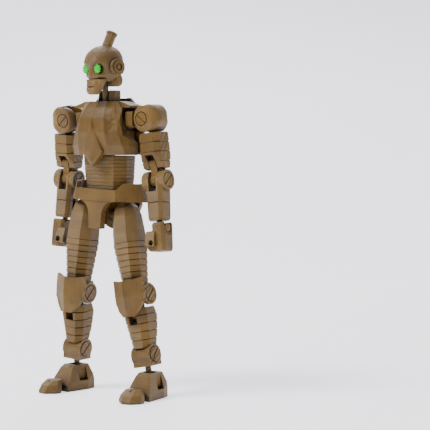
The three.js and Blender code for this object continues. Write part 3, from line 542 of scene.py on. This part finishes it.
def hand():
    """A fist: palm, four curled fingers, a thumb across them, a grip hole and the peg's groove."""
    palm = loft([octagon(4.6, 5.6, 0.9, -8.4, 1.2), octagon(5.4, 6.5, 1.0, -7.5, 1.0),
                 octagon(5.6, 6.7, 1.0, 1.2, 1.0), octagon(5.0, 6.0, 0.9, 1.9, 1.0)])
    fingers = []
    for k in range(4):
        y = -2.45 + 1.63 * k
        reach = (-0.2, 0.0, 0.0, -0.3)[k]
        curl = [(1.0, -8.3), (1.0, -2.2), (-2.0, -2.2 + reach / 2), (-3.6 - reach, -3.5),
                (-4.1 - reach, -5.2), (-3.8 - reach, -7.2), (-2.6, -8.3)]
        fingers.append(slab("y", curl, y - 0.78, y + 0.78))
    bent = [(-3.7, -1.2), (-4.5, -4.2), (-4.7, -6.2), (-3.6, -6.9), (-2.7, -5.6), (-2.4, -1.0)]
    thumb = slab("x", bent, -3.6, 0.4)
    grip = bar("y", 0.95, -6, 6, (-1.0, 0, -5.4))
    groove = cut(bar("x", 2.5, -5, 5.2), bar("x", 1.95, -6, 6))
    shallow = meet(groove, box(3.45, 6, -3, 3, -3, 3))
    room = join(bar("x", 1.8, -1.8, 5), box(-1.8, 5, -1.8, 1.8, 0, 4))
    return remeshed(cut(join(palm, *fingers, thumb), grip, shallow, room), 0.13, 3)


def upright(axis, towards):
    """The axis, turned to point the way of towards."""
    return axis if axis.dot(Vector(towards)) > 0 else -axis


# The chest's pieces are drawn at their heights on the standing figure, from CHEST_Z, the joint's.
CHEST_Z = 87.6
CHEST = place_by(at("chest_turn"), x=upright(along("shoulder_swing_left"), (1, 0, 0)),
                 z=along("chest_turn")) @ Matrix.Translation(Vector((0, 0, -CHEST_Z)) * MM)
# height, then (across, forward) of side edge, outer facet, breast ridge, and the seam's forward
BREAST = [(87.6, 14, -1.2, 11.8, -5.5, 7, -8.2, -8.5), (91, 14, -1.8, 11.4, -6.9, 6.6, -9.6, -9.6),
          (96, 12.8, -2.9, 9.8, -7.4, 6.1, -10.5, -10.2), (101, 10.8, -3.8, 8.2, -6.7, 5.3, -9.9, -9.5),
          (104.5, 9.2, -3.9, 7.2, -6.1, 4.5, -8.1, -7.6), (107, 8, -3.7, 6.4, -4.8, 3.9, -5.7, -5.2)]
BREAST_TALL, BREAST_STEPS = 19.4, 90
LEAF_MID = 91  # the height the keel's rings shrink towards
# the keel's right edge, across and up, from its top point to its foot
LEAF = [(0, 100.2), (0.9, 98.2), (1.7, 96), (2.6, 93.8), (3.7, 91.4), (4.6, 89.2), (4.3, 88.3),
        (2.9, 86.7), (1.5, 85), (0, 83.9)]


def breast_relief(x, z):
    """Fine form on the breast facets: the seam, and a folded hollow on each outer facet."""
    side = abs(x)
    push = -0.3 * math.exp(-(x / 0.25) ** 2) * smooth_step(z, 99.8, 100.4)
    push -= 1.0 * bump_at(side, z, 7.3, 98.2, 1.1, 3.4)
    push += 0.55 * bump_at(side, z, 7.0, 100.6, 0.55, 0.5) + 0.5 * bump_at(side, z, 7.7, 99.2, 0.5, 0.6)
    push += 0.4 * bump_at(side, z, 6.9, 97.8, 0.4, 0.7)
    return push


def breast_ring(z, steps=14):
    """The breastplate's outline at height z, each facet a little raised along its edges."""
    _, side, side_y, outer, outer_y, ridge, ridge_y, seam_y = row_between(BREAST, z)
    corners = [(0, seam_y), (ridge, ridge_y), (outer, outer_y), (side, side_y), (side, 0)]
    half = []
    for (x0, y0), (x1, y1) in zip(corners, corners[1:]):
        for i in range(steps):
            share = i / steps
            rim = 0.18 * (math.exp(-(share * 7) ** 2) + math.exp(-((1 - share) * 7) ** 2))
            x = x0 + (x1 - x0) * share
            y = y0 + (y1 - y0) * share - (rim if y1 < 0 else 0)
            half.append((x, y - (breast_relief(x, z) if y1 < 0 else 0), z))
    half.append((side, 0, z))
    return half + [(0, 0.01, z)] + [(-x, y, z) for x, y, z in reversed(half[1:])]


def chest_room():
    return loft([octagon(24.8, 10.1, 2.3, 86, 0, -0.4), octagon(20.6, 9.1, 2, 97, 0, -0.4),
                 octagon(15.2, 8.4, 1.6, 108, 0, -0.2)])


def leaf_ring(inset, y, middle):
    points = LEAF + [(-x, z) for x, z in reversed(LEAF[1:-1])]
    return [(x * (1 - inset), middle if x == 0 else y, (z - LEAF_MID) * (1 - inset) + LEAF_MID)
            for x, z in points]


def breastplate():
    shell = loft([breast_ring(CHEST_Z + BREAST_TALL * i / BREAST_STEPS)
                  for i in range(BREAST_STEPS + 1)])
    armpit = [(9.3, 112), (9.3, 96.3), (15, 90.6), (20, 90.6), (20, 112)]
    arms = []
    for s in (1, -1):
        arms.append(slab("y", [(s * x, z) for x, z in armpit], -6, 5))
        arms.append(box(*span(s, 8.2, 20), -4.2, 5, 96.3, 112))
    plate = cut(shell, chest_room(), box(-20, 20, -1, 8, 80, 110), *arms,
                box(-20, 20, -4.2, 8, 102, 112))
    keel = loft([leaf_ring(0, -5.8, -5.8), leaf_ring(0, -9.9, -9.9), leaf_ring(0.06, -10.3, -10.4),
                 leaf_ring(0.3, -10.6, -11.1)])
    keel = cut(keel, box(-6, 6, -7.9, 0, 80, 87.8), chest_room())
    return cut(join(plate, keel), bar("z", 3, 104, 109, (0.3, -2.2, 0)))


WAIST = place_by(at("waist_bend"), x=upright(along("waist_bend"), (1, 0, 0)), z=along("chest_turn"))


def waist_shell():
    """The banded middle of the body, over its hinge post."""
    skin = ribbed([(-7.2, 18.2, 10.8, 0.3), (-3, 19, 11.4, 0.3), (5.2, 19.8, 12, 0.2)], 1.35, 3.4,
                  groove=0.2, bulge=0.06)
    hollow = [box(-4.6, 4.6, -4.2, 4.2, -8, -2.2), box(-2.6, 2.6, -2.4, 2.4, -3, 2.5)]
    return join(cut(skin, *hollow, box(-20, 20, 3.2, 10, -8, -4.2)), bar("z", 2.2, 5, 7.4))


ARM_OFFSET = 1.35  # arm axis outboard of the shoulder pin
DRUM_HALF, PIN_HEAD, PIN_SHAFT = 4.5, 2.3, 1.1


def shoulder_drum():
    """A round-ended drum with a scalloped crown and a ring round each pin head."""
    side = arc(0, 0, 4.7, 90, 270, 24) + [(4.2, -4.8)] + arc(1.9, 0, 4.95, -50, 55, 24) + [(2.6, 5.0)]
    plan = [(-6, -4.5)] + arc(3.2, -0.9, 3.6, -90, 0) + arc(3.2, 0.9, 3.6, 0, 90) + [(-6, 4.5)]
    rounding = []
    for i in range(1, 40):
        x = -math.cos(math.pi * i / 40)
        size = math.sqrt(1 - x * x)
        circle = arc(0, 0, size, 0, 355, 71)
        rounding.append([(1 + 6.0 * x, 6.6 * u, 6.3 * v) for u, v in circle])
    form = meet(slab("y", side, -4.5, 4.5), slab("z", plan, -6, 6), loft(rounding))
    rings = both(lambda s: bar("y", 3.25, *span(s, 4.2, 4.68), edge=0.1))
    scallops = [bar("y", 2.6, -6, 6, (1.4, 0, 7.1)), bar("y", 1.2, -6, 6, (-2.6, 0, 5.2))]
    mouth = join(bar("y", 3.2, -2.2, 2.2), box(-6, 2.4, -2.2, 2.2, -2.4, 6))
    socket = bar("z", 1.8, -6, -2.6, (ARM_OFFSET, 0, 0))
    holes = pin_hole("y", PIN_SHAFT, PIN_HEAD, DRUM_HALF + 0.2, 0.7)
    return remeshed(cut(join(form, *rings), *scallops, mouth, socket, *holes), 0.11, 2)


def shoulder_frame(name):
    return place_by(at(f"shoulder_raise_{name}"), y=upright(along(f"shoulder_raise_{name}"), (0, 1, 0)),
                    z=upright(along(f"arm_turn_{name}"), (0, 0, 1)))


def hand_frame(name):
    return place_by(at(f"wrist_bend_{name}"), x=upright(along(f"wrist_bend_{name}"), (1, 0, 0)),
                    z=upright(along(f"wrist_turn_{name}"), (0, 0, 1)))


for side, name in ((1, "left"), (-1, "right")):
    flip = side < 0
    finish_piece(hand(), f"hand_{name}", hand_frame(name), f"fist_{name}", mirrored=flip)
    finish_piece(shoulder_drum(), f"shoulder_drum_{name}", shoulder_frame(name),
                 f"shoulder_cap_{name}", mirrored=flip)
finish_piece(breastplate(), "breastplate", CHEST, "chest", bevel=0.1)
finish_piece(waist_shell(), "waist_shell", WAIST, "waist", bevel=0.06)

finish_piece(skull(), "skull", HEAD, "head", bevel=0.08)
finish_piece(jaw(), "jaw", HEAD, "head")
finish_piece(occiput(), "occiput", HEAD, "head", bevel=0.15)
for side, name in ((1, "left"), (-1, "right")):
    finish_piece(eye(side), f"eye_lens_{name}", HEAD, "head")


# ------------------------------------------------------------------ stage
FIGURE_MIDDLE = Vector((0, 0, 0.07))


def stage_light(name, at_point, energy, size):
    """A soft light of a size in metres, facing the figure."""
    data = bpy.data.lights.new(name, "AREA")
    data.energy = energy
    data.shape = "RECTANGLE"
    data.size, data.size_y = size
    lamp = bpy.data.objects.new(name, data)
    bpy.context.scene.collection.objects.link(lamp)
    lamp.location = at_point
    lamp.rotation_euler = (FIGURE_MIDDLE - Vector(at_point)).to_track_quat("-Z", "Y").to_euler()


def backdrop():
    n = Nodes("backdrop")
    where = n.add("ShaderNodeTexCoord").outputs["Object"]
    colour = n.mix(n.ramp(n.noise(where, 3.0), 0.3, 0.7), rgb(232, 232, 238), rgb(237, 237, 242))
    profile = [(-3.0, 0.0), (0.5, 0.0)]
    profile += [(0.5 + 1.2 * math.sin(math.radians(t)), 1.2 - 1.2 * math.cos(math.radians(t)))
                for t in range(6, 91, 6)] + [(1.7, 4.0)]
    verts = [(side, y, z) for y, z in profile for side in (-4.0, 4.0)]
    faces = [(i, i + 1, i + 3, i + 2) for i in range(0, len(verts) - 2, 2)]
    floor = solid(verts, faces)
    floor.name = "floor"
    floor.rotation_euler = (0, 0, AZIMUTH)
    for polygon in floor.data.polygons:
        polygon.use_smooth = True
    floor.data.materials.append(n.surface(Base_Color=colour, Roughness=0.9, Specular_IOR_Level=0.1,
                                          Emission_Color=colour, Emission_Strength=1.2))


backdrop()
stage_light("key", (-0.35, -0.55, 0.85), 15.0, (0.4, 0.4))
stage_light("fill", (0.95, 0.2, 0.45), 1.8, (0.5, 0.5))
stage_light("back", (-0.5, 0.8, 0.8), 7.0, (0.6, 0.5))
world = bpy.data.worlds.new("studio")
bpy.context.scene.world = world
world.use_nodes = True
world.node_tree.nodes["Background"].inputs[0].default_value = (0.92, 0.93, 0.96, 1)
world.node_tree.nodes["Background"].inputs[1].default_value = 0.4
